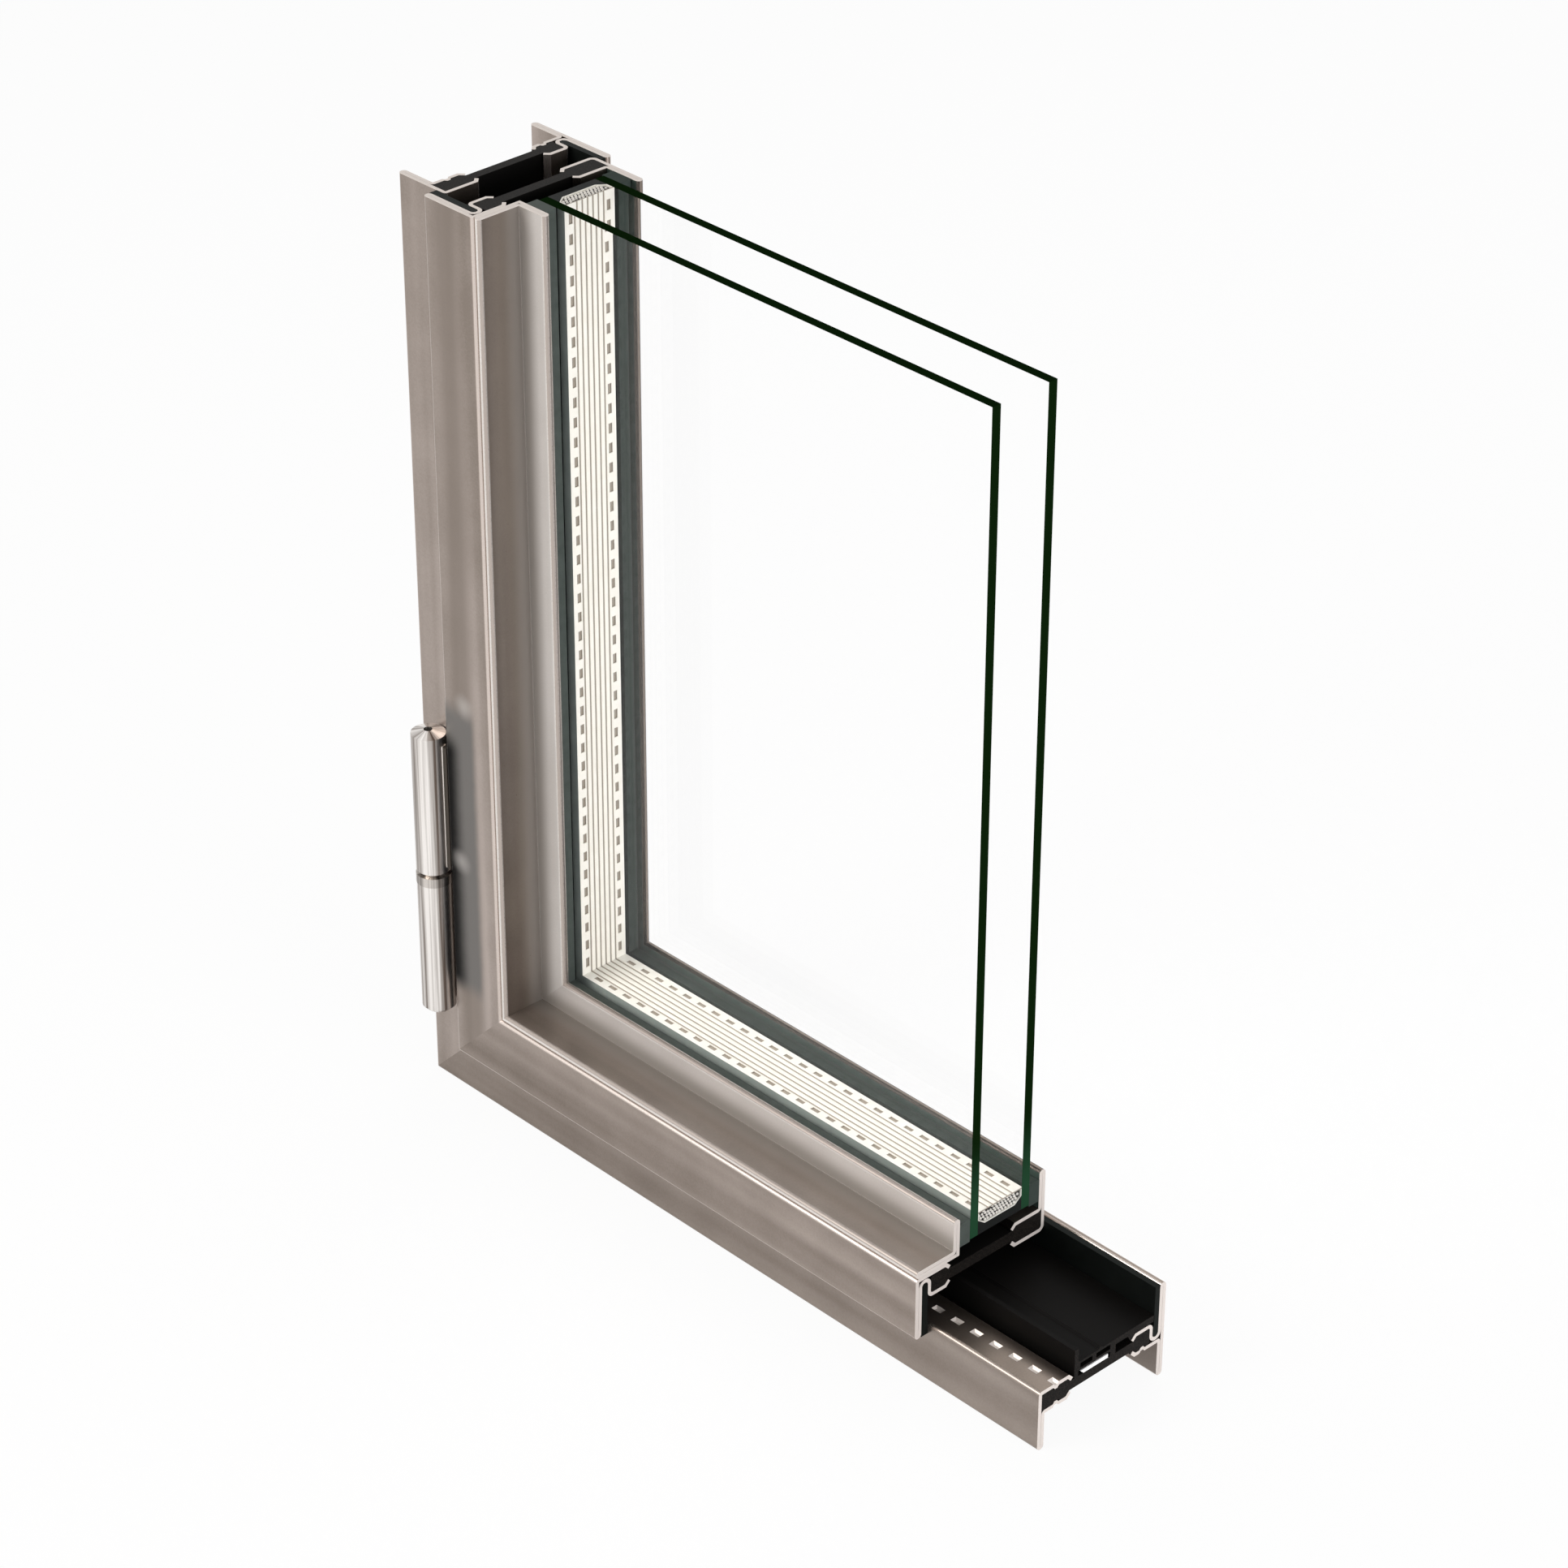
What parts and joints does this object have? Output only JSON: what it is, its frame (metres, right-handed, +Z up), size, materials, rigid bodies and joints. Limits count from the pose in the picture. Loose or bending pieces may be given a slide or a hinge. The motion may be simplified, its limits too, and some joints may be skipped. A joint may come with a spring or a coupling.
{
  "type": "steel window corner sample",
  "caption": "Cut corner of a thermally broken steel casement window: frame and opening sash of folded shells, double glazing, glazing bead and weld-on barrel hinge.",
  "frame": {"origin": "centre of the footprint at the level of the sill's flange tips, on which the sample stands", "axes": "+Z up along the jamb, +X along the sill away from the corner, +Y from the hinge side through the window to the back"},
  "size_m": [0.3302, 0.079, 0.3854],
  "materials": {
    "satin_steel": "satin",
    "polished_steel": "polished",
    "black_polyamide": "matt, glass-fibre filled",
    "black_rubber": "matt",
    "edge_sealant": "matt",
    "clear_glass": "clear float glass",
    "white_spacer": "satin",
    "desiccant": "granular",
    "white_foam": "matt"
  },
  "bodies": {
    "root": {"frame_front_shell_jamb": "satin_steel", "frame_back_shell_jamb": "satin_steel", "sash_front_shell_jamb": "satin_steel", "sash_back_shell_jamb": "satin_steel", "glazing_bead_jamb": "satin_steel", "frame_thermal_bar_jamb": "black_polyamide", "sash_thermal_bar_jamb": "black_polyamide", "frame_gasket_jamb": "black_rubber", "sash_gasket_jamb": "black_rubber", "front_glazing_gasket_jamb": "black_rubber", "back_glazing_gasket_jamb": "black_rubber", "edge_sealant_jamb": "edge_sealant", "spacer_jamb": "white_spacer", "desiccant_jamb": "desiccant", "frame_front_shell_sill": "satin_steel", "frame_back_shell_sill": "satin_steel", "sash_front_shell_sill": "satin_steel", "sash_back_shell_sill": "satin_steel", "glazing_bead_sill": "satin_steel", "frame_thermal_bar_sill": "black_polyamide", "sash_thermal_bar_sill": "black_polyamide", "frame_gasket_sill": "black_rubber", "sash_gasket_sill": "black_rubber", "front_glazing_gasket_sill": "black_rubber", "back_glazing_gasket_sill": "black_rubber", "edge_sealant_sill": "edge_sealant", "spacer_sill": "white_spacer", "desiccant_sill": "desiccant", "sill_tray": "black_polyamide", "insulating_strip": "white_foam", "glass_pane_front": "clear_glass", "glass_pane_back": "clear_glass", "hinge_lower_barrel": "polished_steel", "hinge_ring": "polished_steel", "hinge_upper_barrel": "polished_steel", "hinge_pin": "polished_steel"}
  },
  "joints": []
}
